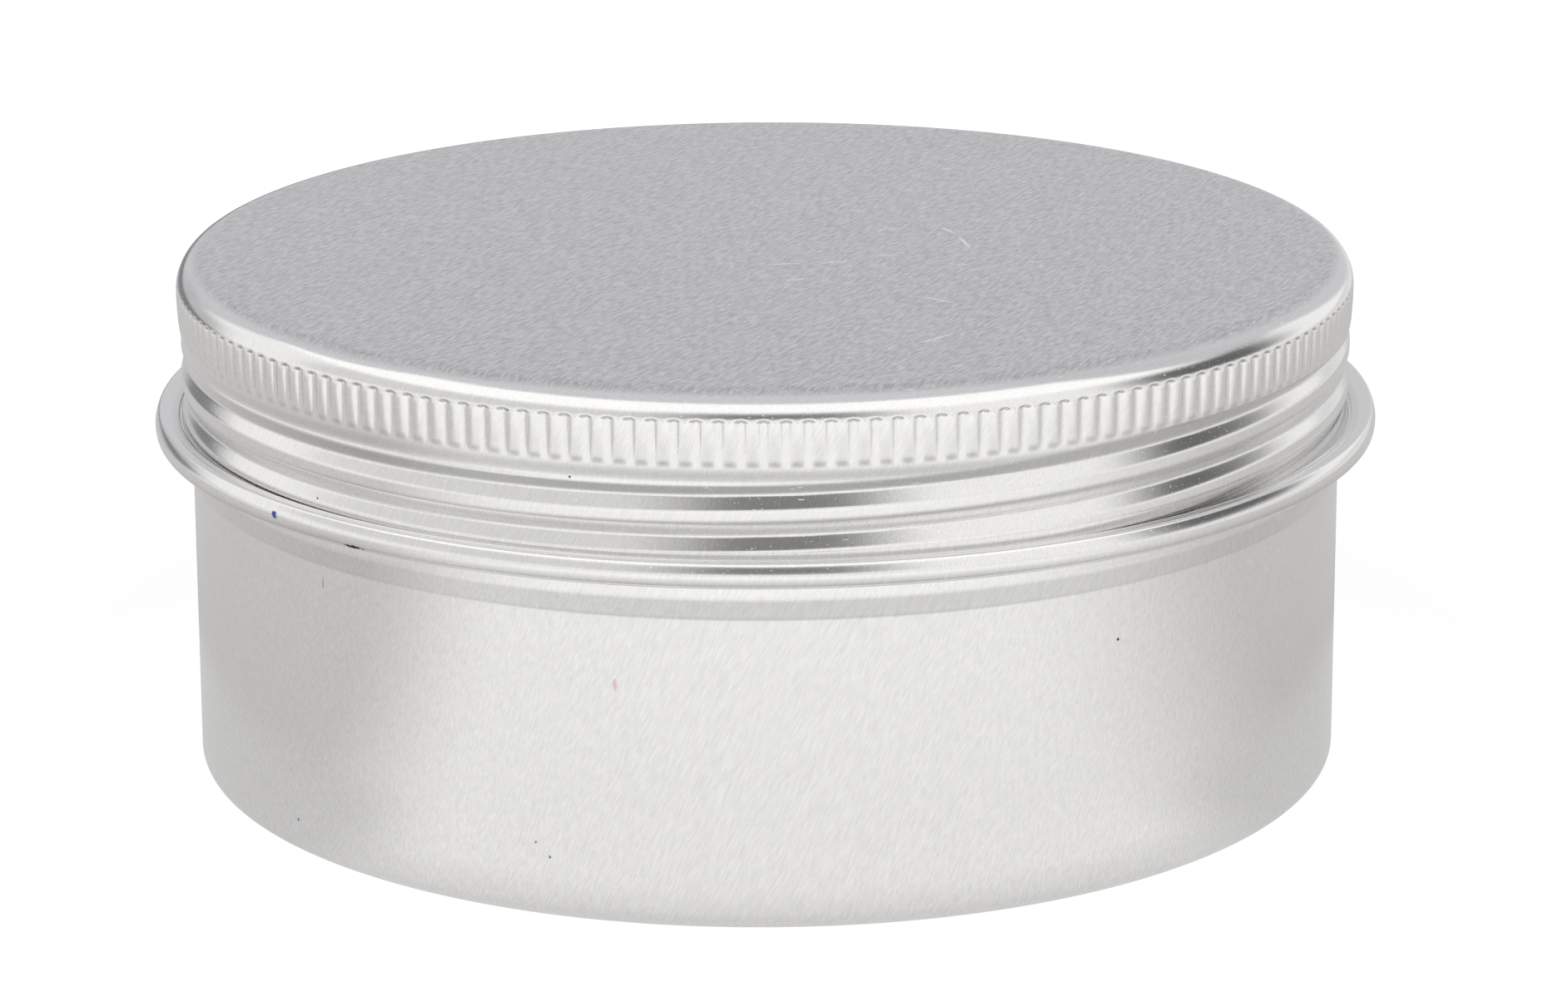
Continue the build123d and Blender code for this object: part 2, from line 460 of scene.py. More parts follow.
# Where the flare's straight line goes over into the wall: out from the wall, and up from its start.
FLARE_EASE = (0.012 * MM, 0.06 * MM)
EDGE_GAP = 0.1 * MM  # between a bend and the next row of the wall
NECK_STEP = 0.12 * MM
NECK_INSIDE_STEP = 0.25 * MM
PLAIN_ROWS = 6
BEND_ROWS = 4
FLARE_ROWS = 8
FOOT_ROWS = 14
FOOT_INSIDE_ROWS = 8
WALL_ROWS = 14
RIM_ROWS = 26


def can_rows(sizes, lid):
    """Rows of the can, from the middle of its floor up the inside, over the rim and down the outside.

    The profile is straight lines joined by quarter and smaller arcs. On the neck, the thread's
    height is added to the radius, inside as outside.
    """
    angles = around(CAN_POINTS, (0.0,))
    sheet = sizes.sheet
    bend = BASE_BEND
    wall_in = sizes.radius - sheet
    neck_in = sizes.neck_radius - sheet
    panel_in = sizes.recess + sheet
    ring_edge = sizes.ring_radius
    widest = (sizes.radius + sizes.flare, sizes.shoulder + sizes.shoulder_rise)
    collar = (widest[0] - COLLAR_DRAW, widest[1] + sizes.collar_rise)
    neck_low = collar[1] + sizes.neck_rise
    rim = (sizes.neck_radius - sizes.rim_roll, LINER_LOW.z - RIM_GAP - sizes.rim_roll)
    front = LID_HIGH.z - lid.groove_drop + sizes.ridge_lift
    foot = (sizes.radius - sizes.corner, sizes.corner)
    lean = thread_lean(lid, angles)

    def ridge(height):
        """Height of the thread on the neck."""
        flanks = (sizes.ridge_width, sizes.ridge_width)
        return sizes.ridge_height * screw_form(height - lean, angles, front, lid.pitch, CAN_TURNS, *flanks)

    rows = [pole(panel_in)]
    inner_low = (ring_edge + INNER_BEND_SHARE * bend, sheet + bend)
    inside = [
        *line((BASE_HUB, panel_in), (ring_edge - bend, panel_in), PLAIN_ROWS),
        *arc((ring_edge - bend, panel_in - bend), bend, bend, 90, BEND_SLOPE, BEND_ROWS),
        *arc(inner_low, bend, bend, 180 + BEND_SLOPE, 270, BEND_ROWS),
        *arc(foot, sizes.corner - sheet, sizes.corner - sheet, -90, 0, FOOT_INSIDE_ROWS),
        *line((wall_in, WALL_START), (wall_in, sizes.shoulder), PLAIN_ROWS),
        (widest[0] - sheet, widest[1] - WIDEST_DROP),
        (collar[0] - sheet, collar[1] - COLLAR_DROP),
    ]
    rows += rings(inside, angles)
    for height in np.arange(neck_low - COLLAR_DROP, rim[1] - sizes.rim_roll, NECK_INSIDE_STEP):
        rows.append(ring(neck_in + ridge(height), height, angles))
    rows += rings(arc(rim, sizes.rim_roll, sizes.rim_roll, RIM_START, 0, RIM_ROWS), angles)
    for height in np.arange(rim[1] - NECK_STEP, neck_low, -NECK_STEP):
        rows.append(ring(sizes.neck_radius + ridge(height), height, angles))
    flare_end = (sizes.radius + FLARE_EASE[0], sizes.shoulder + FLARE_EASE[1])
    wall = ((sizes.radius, sizes.shoulder - EDGE_GAP), (sizes.radius, foot[1] + EDGE_GAP))
    outer_low = (ring_edge + OUTER_BEND_SHARE * bend, bend)
    outer_high = (ring_edge - OUTER_BEND_SHARE * bend, sizes.recess - bend)
    panel_edge = (ring_edge - PANEL_EDGE_SHARE * bend, sizes.recess)
    outside = [
        *line((sizes.neck_radius, neck_low), collar, PLAIN_ROWS),
        *line(collar, widest, PLAIN_ROWS)[1:],
        *line(widest, flare_end, FLARE_ROWS)[1:],
        (sizes.radius, sizes.shoulder),
        *line(*wall, WALL_ROWS),
        *arc(foot, sizes.corner, sizes.corner, 0, -90, FOOT_ROWS),
        *arc(outer_low, bend, bend, -90, BEND_SLOPE - 180, BEND_ROWS),
        *arc(outer_high, bend, bend, BEND_SLOPE, 90, BEND_ROWS),
        *line(panel_edge, (BASE_HUB, sizes.recess), PLAIN_ROWS)[1:],
    ]
    rows += rings(outside, angles)
    rows.append(pole(sizes.recess))
    return rows


# Foam disc

LINER_HUB_SHARE = 0.1  # radius of the disc's innermost rows, as a share of its own
LINER_FLAT_ROWS = 10
LINER_EDGE_ROWS = 6
DENT_GAP = 0.1 * MM  # from the rounded edge to the dent's first row
DENT_WIDTHS = 3  # how far in the dent's rows reach from its middle, in dent widths
DENT_ROWS = 30
LINER_INSIDE_SHARE = 0.85  # where the flat rows inside the dent start, as a share of its radius
LINER_INSIDE_ROWS = 8


def liner_rows(sizes, can):
    """Rows of the foam disc: flat above, with the shallow ring that the rim has pressed in below.

    The dent is a bell, exp(-(d / width)^2) of its depth at a distance d from the rim's middle, and
    fades out towards the disc's edge.
    """
    angles = around(CAN_POINTS, (0.0,))
    radius = LINER_HIGH.x
    low = LINER_LOW.z
    high = LINER_HIGH.z
    edge = sizes.edge
    hub = radius * LINER_HUB_SHARE
    rows = [pole(high)]
    rows += rings(line((hub, high), (radius - edge, high), LINER_FLAT_ROWS)[:-1], angles)
    rows += rings(arc((radius - edge, high - edge), edge, edge, 90, 0, LINER_EDGE_ROWS), angles)
    rows += rings(arc((radius - edge, low + edge), edge, edge, 0, -90, LINER_EDGE_ROWS), angles)
    pressed = can.neck_radius - can.rim_roll
    at = np.linspace(radius - edge - DENT_GAP, pressed - DENT_WIDTHS * sizes.dent_width, DENT_ROWS)
    bell = np.exp(-((at - pressed) / sizes.dent_width) ** 2)
    fade = 1 - np.exp(-((at - radius) / edge) ** 2)
    rows += rings(zip(at, low + sizes.dent * fade * bell), angles)
    rows += rings(line((pressed * LINER_INSIDE_SHARE, low), (hub, low), LINER_INSIDE_ROWS), angles)
    rows.append(pole(low))
    return rows


# Nodes

MULTIPLY = {"operation": "MULTIPLY"}
LARGER = {"operation": "MAXIMUM"}
NUMBERS = {"data_type": "FLOAT"}
COLOURS = {"data_type": "RGBA"}
SMOOTH = {"interpolation_type": "SMOOTHSTEP"}
PATTERN = {"vector_type": "TEXTURE"}  # location, rotation and scale are those of the pattern
MULTIPLY_ADD = {"operation": "MULTIPLY_ADD"}
WHITE = (1.0, 1.0, 1.0, 1.0)


def add(tree, kind, settings=None, **links):
    """Adds a node and returns it.

    settings are its properties. links are its inputs by name, with _ for a space and a number at the
    end where several in use share the name. Each is a value, a socket, or a node whose first output
    in use is joined.
    """
    node = tree.nodes.new(kind)
    for name, value in (settings or {}).items():
        setattr(node, name, value)
    for name, value in links.items():
        word = name.rstrip("0123456789")
        alike = [socket for socket in node.inputs if socket.enabled and socket.name.replace(" ", "_") == word]
        socket = alike[int(name[len(word):] or 0)]
        if isinstance(value, bpy.types.Node):
            value = next(output for output in value.outputs if output.enabled)
        if isinstance(value, bpy.types.NodeSocket):
            tree.links.new(value, socket)
        else:
            socket.default_value = value
    return node


def blank(name):
    """A material with an empty tree."""
    made = bpy.data.materials.new(name)
    made.use_nodes = True
    made.node_tree.nodes.clear()
    return made


def between(tree, angle, rise, fall):
    """1 between two soft edges and 0 outside: one smooth step up times one down, ends in degrees."""
    edges = []
    for start, end in (rise, fall):
        limits = {"From_Min": math.radians(start), "From_Max": math.radians(end)}
        edges.append(add(tree, "ShaderNodeMapRange", SMOOTH, Value=angle, **limits))
    return add(tree, "ShaderNodeMath", MULTIPLY, Value0=edges[0], Value1=edges[1])


def bearing_of(tree, axes):
    """Bearing in radians of a point or direction, from its separated axes: atan2(x, -y)."""
    ahead = add(tree, "ShaderNodeMath", MULTIPLY, Value0=axes["Y"], Value1=-1.0)
    return add(tree, "ShaderNodeMath", {"operation": "ARCTAN2"}, Value0=axes["X"], Value1=ahead)


# Metal

METAL_ROUGHNESS = 0.15
WORN_ROUGHNESS = 0.4  # added where the metal is scratched or marked
GRAIN_LEVELS = (0.3, 0.7)  # levels of the noise between which grain goes from its darkest to none
# Rolling and brush marks: stretch, turn, width, depth, mottle, and the height where they start. Real
# ones are a few hundredths of a millimetre wide and are drawn several times as wide, so that they show.
LID_GRAIN = (
    ((5, 1, 1), (0, 0, 62), 0.21 * MM, 0.001 * MM, 0.46, 36.6 * MM),
    ((1, 1, 9), (0, 25, 0), 0.12 * MM, 0.001 * MM, 0.12, 0.0),
)
CAN_GRAIN = (
    ((1, 1, 9), (0, 25, 0), 0.14 * MM, 0.0014 * MM, 0.14, 0.0),
    ((1, 1, 1), (0, 0, 0), 0.5 * MM, 0.0025 * MM, 0.03, 0.0),
)
GRAIN_EDGE = 0.3 * MM  # height in which grain that starts at a height comes in
# Thin scratches: stretch, turn, width and share. They are drawn wider than real ones as well.
LID_SCRATCHES = (
    ((22, 1, 1), (0, 0, 12), 0.12 * MM, 0.27),
    ((22, 1, 1), (0, 0, 70), 0.11 * MM, 0.26),
    ((1, 1, 20), (0, 30, 0), 0.1 * MM, 0.25),
)
CAN_SCRATCHES = (((1, 1, 20), (0, 30, 0), 0.1 * MM, 0.24),)
SCRATCH_EDGE = 0.03  # how far the noise rises while a scratch comes in
GRAIN_DETAIL = 3.0
SCRATCH_DETAIL = 1.0
STREAK_ROUGHNESS = 0.6
# A stain's edge: width of the noise that makes it ragged, its weight, and the levels between which
# the stain goes from none to full. A level is the distance in half sizes of the oval plus that noise.
RAGGED_WIDTH = 0.25 * MM
RAGGED_WEIGHT = 1.2
STAIN_EDGE = (1.6, 1.2)


def streaks(tree, place, stretch, turn, width, detail):
    """Noise of a given width, drawn out along each turned axis as many times as stretch says."""
    turn = tuple(math.radians(angle) for angle in turn)
    laid = add(tree, "ShaderNodeMapping", PATTERN, Vector=place, Rotation=turn, Scale=stretch)
    return add(
        tree, "ShaderNodeTexNoise", {"noise_dimensions": "3D"},
        Vector=laid, Scale=1 / width, Detail=detail, Roughness=STREAK_ROUGHNESS,
    )


def stain(tree, place, bearing, radius, height, size, turn):
    """Mask of a small ragged mark at a bearing, a radius and a height.

    The mark is an oval whose half sizes are given across, in depth and upwards, turned about Z.
    """
    at = math.radians(bearing)
    middle = (radius * math.sin(at), -radius * math.cos(at), height)
    tilt = (0, 0, math.radians(turn))
    laid = add(tree, "ShaderNodeMapping", PATTERN, Vector=place, Location=middle, Rotation=tilt, Scale=size)
    distance = add(tree, "ShaderNodeVectorMath", {"operation": "LENGTH"}, Vector=laid)
    ragged = streaks(tree, place, (1, 1, 1), (0, 0, 0), RAGGED_WIDTH, SCRATCH_DETAIL)
    spread = add(
        tree, "ShaderNodeMath", MULTIPLY_ADD, Value0=ragged, Value1=RAGGED_WEIGHT, Value2=distance,
    )
    return add(tree, "ShaderNodeMapRange", Value=spread, From_Min=STAIN_EDGE[0], From_Max=STAIN_EDGE[1])


def drawn_aluminium(name, metal, grain, scratches, marks):
    """Bare aluminium sheet, rolled, drawn and thinly lacquered.

    It is a pale bright metal. The fine marks of rolling and brushing blur what it mirrors into soft
    bands and mottle it a little, thin scratches catch the light, and stains lie dull on it.

    grain: (stretch, turn, width, depth, mottle, lowest) of each set of rolling or brush marks; mottle
    is the share of light that the darkest of them lose, and lowest the height where they start.
    scratches: (stretch, turn, width, share) of each set of thin scratches that catch the light.
    marks: (colour, bearing, radius, height, size, turn) of each stain or long scratch.
    """
    made = blank(name)
    tree = made.node_tree
    place = add(tree, "ShaderNodeTexCoord").outputs["Object"]
    height = add(tree, "ShaderNodeSeparateXYZ", Vector=place).outputs["Z"]
    relief = 0.0
    shade = 1.0
    for stretch, turn, width, depth, mottle, lowest in grain:
        mark = streaks(tree, place, stretch, turn, width, GRAIN_DETAIL)
        relief = add(tree, "ShaderNodeMath", MULTIPLY_ADD, Value0=mark, Value1=depth / MM, Value2=relief)
        dark = add(
            tree, "ShaderNodeMapRange",
            Value=mark, From_Min=GRAIN_LEVELS[0], From_Max=GRAIN_LEVELS[1], To_Min=mottle, To_Max=0.0,
        )
        if lowest > 0:
            over = lowest + GRAIN_EDGE
            above = add(tree, "ShaderNodeMapRange", Value=height, From_Min=lowest, From_Max=over)
            dark = add(tree, "ShaderNodeMath", MULTIPLY, Value0=dark, Value1=above)
        left = add(tree, "ShaderNodeMath", {"operation": "SUBTRACT"}, Value0=1.0, Value1=dark)
        shade = add(tree, "ShaderNodeMath", MULTIPLY, Value0=shade, Value1=left)
    tint = add(tree, "ShaderNodeVectorMath", {"operation": "SCALE"}, Vector=metal, Scale=shade)
    worn = 0.0
    for stretch, turn, width, share in scratches:
        noise = streaks(tree, place, stretch, turn, width, SCRATCH_DETAIL)
        level = 1 - share
        cut = add(tree, "ShaderNodeMapRange", Value=noise, From_Min=level, From_Max=level + SCRATCH_EDGE)
        worn = add(tree, "ShaderNodeMath", LARGER, Value0=worn, Value1=cut)
    tint = add(tree, "ShaderNodeMix", COLOURS, Factor=worn, A=tint, B=WHITE)
    for tone, *where in marks:
        mask = stain(tree, place, *where)
        tint = add(tree, "ShaderNodeMix", COLOURS, Factor=mask, A=tint, B=(*tone, 1.0))
        worn = add(tree, "ShaderNodeMath", LARGER, Value0=worn, Value1=mask)
    roughness = add(
        tree, "ShaderNodeMath", MULTIPLY_ADD, Value0=worn, Value1=WORN_ROUGHNESS, Value2=METAL_ROUGHNESS,
    )
    bump = add(tree, "ShaderNodeBump", Height=relief, Strength=1.0, Distance=MM)
    shader = add(
        tree, "ShaderNodeBsdfPrincipled", Base_Color=tint, Metallic=1.0, Roughness=roughness, Normal=bump,
    )
    add(tree, "ShaderNodeOutputMaterial", Surface=shader)
    return made


# Foam

FOAM_CELL = 0.5 * MM  # width of a cell
FOAM_RELIEF = 0.06 * MM
FOAM_BUMP = 0.5
FOAM_ROUGHNESS = 0.75


def white_foam(finish):
    """Closed-cell polyethylene foam cut from sheet: matt white, with cells that show as a faint pebbling."""
    made = blank("white_closed_cell_foam")
    tree = made.node_tree
    place = add(tree, "ShaderNodeTexCoord").outputs["Object"]
    cells = add(tree, "ShaderNodeTexVoronoi", Vector=place, Scale=1 / FOAM_CELL)
    bump = add(tree, "ShaderNodeBump", Height=cells, Strength=FOAM_BUMP, Distance=FOAM_RELIEF)
    shader = add(
        tree, "ShaderNodeBsdfPrincipled",
        Base_Color=(*finish.foam, 1.0), Roughness=FOAM_ROUGHNESS, Normal=bump,
    )
    add(tree, "ShaderNodeOutputMaterial", Surface=shader)
    return made


# Pieces

# Marks on the lid's side: colour, bearing, radius, height, half sizes and turn.
SMUDGE = (1.0 * MM, 0.8 * MM, 0.13 * MM)
INK_SPOT = (0.3 * MM, 0.8 * MM, 0.3 * MM)
LID_SPECK = (0.1 * MM, 0.1 * MM, 0.1 * MM)
LID_MARKS = (
    ("ink", -49.0, 43.45 * MM, 25.3 * MM, INK_SPOT, -49.0),
    ("soot", -38.7, 43.45 * MM, 24.6 * MM, SMUDGE, -38.7),
    ("soot", -23.5, 41.7 * MM, 35.12 * MM, LID_SPECK, 0.0),
    ("soot", -17.7, 41.45 * MM, 30.98 * MM, LID_SPECK, 0.0),
    ("soot", -46.1, 41.5 * MM, 26.5 * MM, LID_SPECK, 0.0),
)
# Bearing, radius in mm, turn and half length in mm of the long scratches on the panel.
PANEL_SCRATCHES = (
    (11.5, 6.5, 9.0, 1.6),
    (38.4, 7.6, 23.0, 1.2),
    (65.5, 9.4, -7.0, 1.3),
    (35.3, 20.7, -37.0, 1.4),
    (11.5, 11.2, 27.0, 1.0),
    (149.9, 26.9, 35.0, 0.5),
    (145.8, 11.8, -18.0, 1.0),
    (104.8, 13.6, -64.0, 1.4),
    (89.7, 14.2, -80.0, 2.0),
    (22.7, 29.7, 47.0, 2.0),
    (63.9, 15.4, 0.0, 0.5),
)
PANEL_SCRATCH_WIDTH = 0.16 * MM  # half the width
PANEL_SCRATCH_DEPTH = 0.5 * MM
# Marks on the can's wall: colour, bearing, height, half sizes and turn.
CAN_SPECK = (0.12 * MM, 0.12 * MM, 0.12 * MM)
COMMA = (0.2 * MM, 0.8 * MM, 0.45 * MM)
HAIR = (0.06 * MM, 0.8 * MM, 0.5 * MM)
CAN_MARKS = (
    ("soot", 35.0, 17.9 * MM, CAN_SPECK, 0.0),
    ("ink", -51.6, 2.6 * MM, CAN_SPECK, 0.0),
    ("pink", -13.9, 16.9 * MM, COMMA, -13.9),
    ("haze", -46.6, 20.3 * MM, HAIR, -46.6),
    ("haze", -21.9, 5.34 * MM, CAN_SPECK, 0.0),
    ("haze", -20.5, 4.42 * MM, CAN_SPECK, 0.0),
)


class TIN_OT_lid(Operator):
    """Build the lid: panel, fluted side, rolled thread and rolled edge."""

    bl_idname = "tin.lid"
    bl_label = "Build the lid"

    def execute(self, context):
        scene = context.scene
        finish = scene.tin_finish
        lid = skin("lid", lid_rows(scene.tin_lid))
        marks = [(getattr(finish, tone), *where) for tone, *where in LID_MARKS]
        for bearing, radius, turn, reach in PANEL_SCRATCHES:
            size = (reach * MM, PANEL_SCRATCH_WIDTH, PANEL_SCRATCH_DEPTH)
            marks.append((finish.scratch, bearing, radius * MM, LID_HIGH.z, size, turn))
        material = drawn_aluminium("drawn_aluminium_lid", finish.metal, LID_GRAIN, LID_SCRATCHES, marks)
        lid.data.materials.append(material)
        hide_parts("lid_shell")
        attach(lid, "lid")
        return {"FINISHED"}


class TIN_OT_can(Operator):
    """Build the can: recessed base, wall, shoulder, threaded neck and rolled rim."""

    bl_idname = "tin.can"
    bl_label = "Build the can"

    def execute(self, context):
        scene = context.scene
        finish = scene.tin_finish
        wall = scene.tin_can.radius
        can = skin("can", can_rows(scene.tin_can, scene.tin_lid))
        marks = [(getattr(finish, tone), bearing, wall, *rest) for tone, bearing, *rest in CAN_MARKS]
        material = drawn_aluminium("drawn_aluminium_can", finish.metal, CAN_GRAIN, CAN_SCRATCHES, marks)
        can.data.materials.append(material)
        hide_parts("base_can")
        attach(can, "base")
        return {"FINISHED"}


class TIN_OT_liner(Operator):
    """Build the foam disc that seals the lid on the rim."""

    bl_idname = "tin.liner"
    bl_label = "Build the liner"

    def execute(self, context):
        scene = context.scene
        liner = skin("liner", liner_rows(scene.tin_liner, scene.tin_can))
        liner.data.materials.append(white_foam(scene.tin_finish))
        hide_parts("lid_liner")
        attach(liner, "liner")
        return {"FINISHED"}


# Stage: the tent of light

LOW_LIGHT = 0.97  # light of the tent's walls
HIGH_LIGHT = 1.16  # and of the box overhead
BOX_EDGE = (30.5, 35.5)  # degrees above the table where one goes over into the other
# Grey cloths: bearing and height of the middle and reach from there, in degrees, and light.
CLOTHS = ((180, 79, 34, 0.7), (118, 45, 20, 0.64), (-129, 50, 14, 0.7), (180, 35, 43, 0.67))
CLOTH_EDGE = 2  # half the width of a cloth's soft edge, in degrees
CLOTH_TINT = (0.955, 0.957, 1.0, 1.0)
# Darker places in the tent's walls: light, and the degrees in which each starts and ends, by bearing
# and by height.
GAPS = (
    (0.74, (-106, -94), (-10, -22), (6, 14), (35, 27)),
    (0.22, (-29, -5), (34, 10), (8, 18), (39, 29)),
    (0.13, (64, 86), (128, 106), (1, 11), (32, 22)),
    (0.52, (-163, -149), (-120, -134), (-12, 2), (19, 5)),
)


def sky(tree):
    """Light and hue of the studio for each direction, as a softbox tent gives them.

    Grey cloth hangs over the tin and behind it, a bright box stands high in front, and the camera's
    opening and the gaps in the tent are dark, a little above the table.
    """
    toward = add(tree, "ShaderNodeTexCoord").outputs["Generated"]
    axes = add(tree, "ShaderNodeSeparateXYZ", Vector=toward).outputs
    steep = add(tree, "ShaderNodeMath", {"operation": "ARCSINE"}, Value=axes["Z"])
    bearing = bearing_of(tree, axes)
    light = add(
        tree, "ShaderNodeMapRange", SMOOTH, Value=steep, From_Min=math.radians(BOX_EDGE[0]),
        From_Max=math.radians(BOX_EDGE[1]), To_Min=LOW_LIGHT, To_Max=HIGH_LIGHT,
    )
    hue = WHITE
    for side, height, reach, dim in CLOTHS:
        side = math.radians(side)
        height = math.radians(height)
        middle = (math.cos(height) * math.sin(side), -math.cos(height) * math.cos(side), math.sin(height))
        nearness = add(
            tree, "ShaderNodeVectorMath", {"operation": "DOT_PRODUCT"}, Vector0=toward, Vector1=middle,
        )
        under = add(
            tree, "ShaderNodeMapRange", SMOOTH, Value=nearness,
            From_Min=math.cos(math.radians(reach + CLOTH_EDGE)),
            From_Max=math.cos(math.radians(reach - CLOTH_EDGE)),
        )
        light = add(tree, "ShaderNodeMix", NUMBERS, Factor=under, A=light, B=dim)
        hue = add(tree, "ShaderNodeMix", COLOURS, Factor=under, A=hue, B=CLOTH_TINT)
    for dim, bearing_rise, bearing_fall, height_rise, height_fall in GAPS:
        beside = between(tree, bearing, bearing_rise, bearing_fall)
        above = between(tree, steep, height_rise, height_fall)
        inside = add(tree, "ShaderNodeMath", MULTIPLY, Value0=beside, Value1=above)
        light = add(tree, "ShaderNodeMix", NUMBERS, Factor=inside, A=light, B=dim)
    return light, hue


def hang_tent(scene, studio):
    """World that mirrors as the tent of light, lights matt surfaces a little less, and looks white."""
    world = bpy.data.worlds.new("studio")
    scene.world = world
    world.use_nodes = True
    tree = world.node_tree
    tree.nodes.clear()
    path = add(tree, "ShaderNodeLightPath").outputs
    light, hue = sky(tree)
    matt = add(tree, "ShaderNodeMath", MULTIPLY, Value0=light, Value1=studio.ambient)
    mirrored = add(
        tree, "ShaderNodeMath", LARGER, Value0=path["Is Glossy Ray"], Value1=path["Is Transmission Ray"],
    )
    strength = add(tree, "ShaderNodeMix", NUMBERS, Factor=mirrored, A=matt, B=light)
    strength = add(tree, "ShaderNodeMix", NUMBERS, Factor=path["Is Camera Ray"], A=strength, B=1.0)
    hue = add(tree, "ShaderNodeMix", COLOURS, Factor=path["Is Camera Ray"], A=hue, B=WHITE)
    shade = add(tree, "ShaderNodeBackground", Color=hue, Strength=strength)
    add(tree, "ShaderNodeOutputWorld", Surface=shade)


# Stage: the floor

FLOOR_RADIUS = 3.0
FLOOR_POINTS = 128
FLOOR_DROP = 0.02 * MM  # how far it lies under the tin, so that the two don't coincide
# Bearings between which the white card lies, outside which the floor takes its painted shade in grey, and its
# far edge, past which all is white.
CARD_RISE = (-70, -40)
CARD_FALL = (91, 38)
CARD_FAR = (170 * MM, 300 * MM)
# Painted shade: the far back-left corner of the floor is coloured darker.
PAINTED_SHADE_CORNER_RISE = (-120, -130)  # bearings where the dark corner comes in, as far off as that edge
# Painted sheen: how far the floor is seen at a slant, from 0 to 1, and the share of its colour that it shows,
# so that the matt colour is darker seen steeply and brighter at a slant.
SLANT = (0.17, 0.72)
SLANT_SHARES = (0.42, 1.0)
# Glowing disc round the foot, painted light that glows though it is no lamp where the tin's shadow would
# fall: its outer edge and share, the ring where it brightens and by how much, and the bearings between which
# it does. Elsewhere it has one dimmer light.
DISC_EDGE = (50 * MM, 62 * MM)
DISC_SHARE = 0.9
DISC_RING = (43 * MM, 50 * MM)
DISC_RING_GAIN = 1.2
DISC_SIDE_GAIN = 0.85
DISC_RISE = (-57, -38)
DISC_FALL = (66, 44)
# What the camera sees: plain white, with a share of the real floor and its shadow near the tin.
WHITE_LIGHT = 1.1
WHITE_REACH = (60 * MM, 150 * MM)
WHITE_SHARES = (0.8, 1.0)


